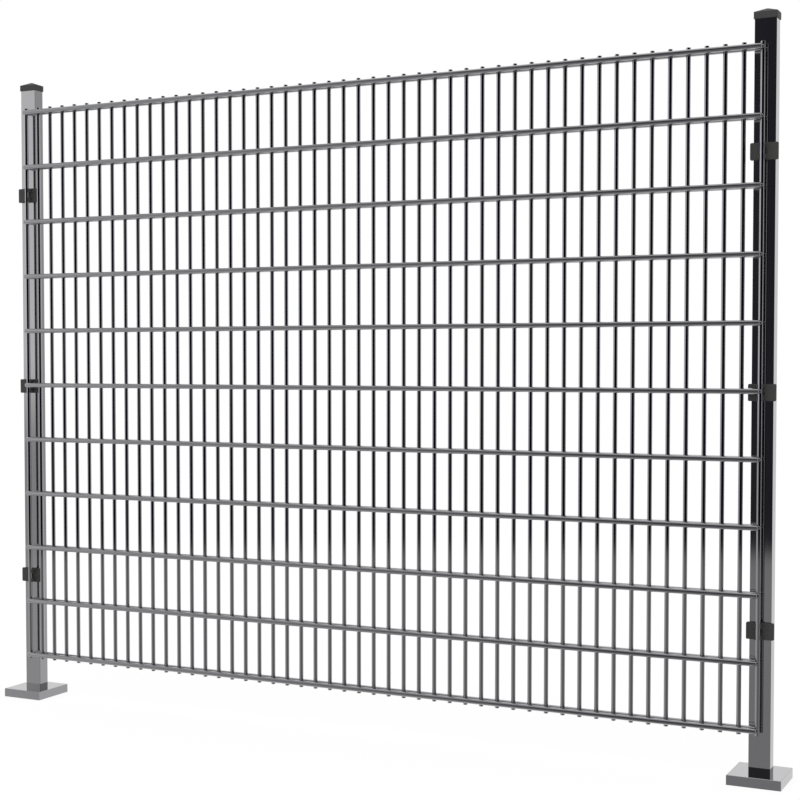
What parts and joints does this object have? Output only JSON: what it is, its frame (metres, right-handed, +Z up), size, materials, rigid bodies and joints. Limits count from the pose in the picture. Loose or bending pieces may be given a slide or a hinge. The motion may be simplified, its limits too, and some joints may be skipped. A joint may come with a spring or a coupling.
{
  "type": "double wire mesh fence panel",
  "caption": "Double wire mesh fence panel: upright wires welded between paired rails, clipped to two capped tube posts on square covered feet",
  "frame": {"origin": "on the ground, in the middle of the rectangle that the panel covers", "axes": "+X along the fence, -Y towards the front of the mesh, +Z up"},
  "size_m": [2.6308, 0.1502, 2.0955],
  "materials": {
    "mesh_metal": "smooth bright zinc, mirror-like",
    "post_metal": "smooth bright zinc, mirror-like",
    "zinc_steel": "dull zinc",
    "screw_steel": "dark zinc",
    "dark_plastic": "fine matte, moulded"
  },
  "bodies": {
    "panel": {"front_rail_01": "mesh_metal", "rear_rail_01": "mesh_metal", "front_rail_02": "mesh_metal", "rear_rail_02": "mesh_metal", "front_rail_03": "mesh_metal", "rear_rail_03": "mesh_metal", "front_rail_04": "mesh_metal", "rear_rail_04": "mesh_metal", "front_rail_05": "mesh_metal", "rear_rail_05": "mesh_metal", "front_rail_06": "mesh_metal", "rear_rail_06": "mesh_metal", "front_rail_07": "mesh_metal", "rear_rail_07": "mesh_metal", "front_rail_08": "mesh_metal", "rear_rail_08": "mesh_metal", "front_rail_09": "mesh_metal", "rear_rail_09": "mesh_metal", "front_rail_10": "mesh_metal", "rear_rail_10": "mesh_metal", "front_rail_11": "mesh_metal", "rear_rail_11": "mesh_metal", "vertical_wires_01": "mesh_metal", "vertical_wires_02": "mesh_metal", "vertical_wires_03": "mesh_metal", "vertical_wires_04": "mesh_metal", "vertical_wires_05": "mesh_metal", "vertical_wires_06": "mesh_metal", "vertical_wires_07": "mesh_metal", "vertical_wires_08": "mesh_metal", "vertical_wires_09": "mesh_metal", "vertical_wires_10": "mesh_metal", "left_post": "post_metal", "left_base_plate": "zinc_steel", "left_foot_weld": "zinc_steel", "left_rivet_nuts": "zinc_steel", "left_lower_clip": "dark_plastic", "left_lower_screw": "screw_steel", "left_middle_clip": "dark_plastic", "left_middle_screw": "screw_steel", "left_upper_clip": "dark_plastic", "left_upper_screw": "screw_steel", "right_post": "post_metal", "right_base_plate": "zinc_steel", "right_foot_weld": "zinc_steel", "right_rivet_nuts": "zinc_steel", "right_lower_clip": "dark_plastic", "right_lower_screw": "screw_steel", "right_middle_clip": "dark_plastic", "right_middle_screw": "screw_steel", "right_upper_clip": "dark_plastic", "right_upper_screw": "screw_steel"},
    "left_cap": {"left_post_cap": "dark_plastic"},
    "right_cap": {"right_post_cap": "dark_plastic"},
    "left_cover": {"left_base_cover": "post_metal"},
    "right_cover": {"right_base_cover": "post_metal"}
  },
  "joints": [
    {"name": "left_cap_pull", "type": "slide", "parent": "panel", "child": "left_cap", "axis": [0, 0, 1], "range_m": [0, 0.04]},
    {"name": "left_cover_lift", "type": "slide", "parent": "panel", "child": "left_cover", "axis": [0, 0, 1], "range_m": [0, 0.08]},
    {"name": "right_cap_pull", "type": "slide", "parent": "panel", "child": "right_cap", "axis": [0, 0, 1], "range_m": [0, 0.04]},
    {"name": "right_cover_lift", "type": "slide", "parent": "panel", "child": "right_cover", "axis": [0, 0, 1], "range_m": [0, 0.08]}
  ]
}
